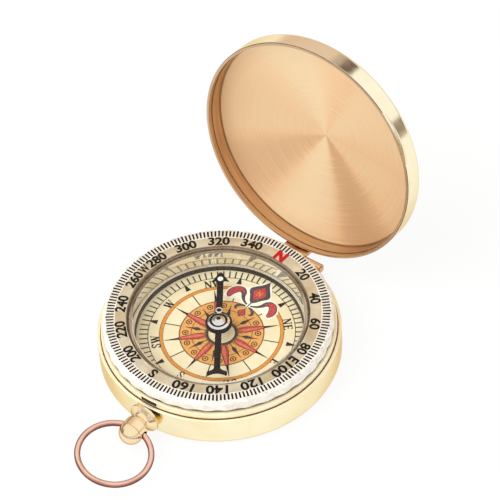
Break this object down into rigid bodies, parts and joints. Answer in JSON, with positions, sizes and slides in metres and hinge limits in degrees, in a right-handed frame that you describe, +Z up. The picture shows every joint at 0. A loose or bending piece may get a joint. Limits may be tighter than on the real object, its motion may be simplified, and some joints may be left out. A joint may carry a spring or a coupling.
{
  "type": "pocket compass",
  "caption": "Round brass pocket compass with a hinged domed lid, clear turning bezel, free needle over a printed rose dial, push stem with a latch hook and a swinging bow ring.",
  "frame": {"origin": "centre of the flat round base that the compass rests on", "axes": "+Z up through the dial, +Y towards the lid's hinge, -Y towards the push stem, +X to the right seen from the stem"},
  "size_m": [0.05, 0.0864, 0.0547],
  "materials": {
    "polished_brass": "polished pale gold brass",
    "brushed_brass": "rose brass, polished outside and brushed in circles inside",
    "copper_brass": "polished copper-toned brass",
    "rose_copper": "polished rose-copper plating",
    "steel": "plain ground steel",
    "bright_steel": "bright turned bearing cap",
    "clear_acrylic": "clear moulded acrylic",
    "printed_card": "printed cream card with a matt face",
    "black_plastic": "satin black moulding",
    "black_enamel": "gloss black paint",
    "nylon": "natural nylon",
    "luminous_paint": "pale luminous paint spot"
  },
  "bodies": {
    "case": {"case_body": "polished_brass", "case_knuckle_left": "copper_brass", "case_knuckle_right": "copper_brass", "hinge_pin": "steel", "capsule_holder": "polished_brass", "capsule_cup": "polished_brass", "dial_plate": "printed_card", "dial_ring": "black_plastic", "capsule_cover": "clear_acrylic", "bezel_washer": "nylon", "pivot_seat": "polished_brass", "pivot_pin": "steel", "stem_bush": "polished_brass", "latch_spring": "steel"},
    "lid": {"lid_shell": "brushed_brass", "lid_knuckle": "copper_brass"},
    "bezel": {"bezel_ring": "clear_acrylic"},
    "needle": {"needle_blade": "black_enamel", "needle_cap": "bright_steel", "needle_dot": "luminous_paint"},
    "crown": {"crown_knob": "polished_brass", "push_rod": "steel", "latch_hook": "steel", "latch_rivet": "steel"},
    "bow": {"bow_ring": "rose_copper"}
  },
  "joints": [
    {"name": "lid_hinge", "type": "hinge", "parent": "case", "child": "lid", "pos_m": [0, 0.02587, 0.005], "axis": [1, 0, 0], "range_deg": [0, 100.3]},
    {"name": "bezel_turn", "type": "hinge", "parent": "case", "child": "bezel", "pos_m": [0, 0, 0.0098], "axis": [0, 0, 1], "continuous": true},
    {"name": "needle_swing", "type": "hinge", "parent": "case", "child": "needle", "pos_m": [0, 0, 0.0084], "axis": [0, 0, 1], "continuous": true},
    {"name": "crown_push", "type": "slide", "parent": "case", "child": "crown", "axis": [0, 1, 0], "range_m": [0, 0.0005], "stiffness_N_per_m": 600, "springref_m": -0.001, "deforming": ["latch_spring"]},
    {"name": "bow_swing", "type": "hinge", "parent": "crown", "child": "bow", "pos_m": [0, -0.02945, 0.00445], "axis": [0.9903, 0, -0.1392], "range_deg": [-105, 105]}
  ]
}
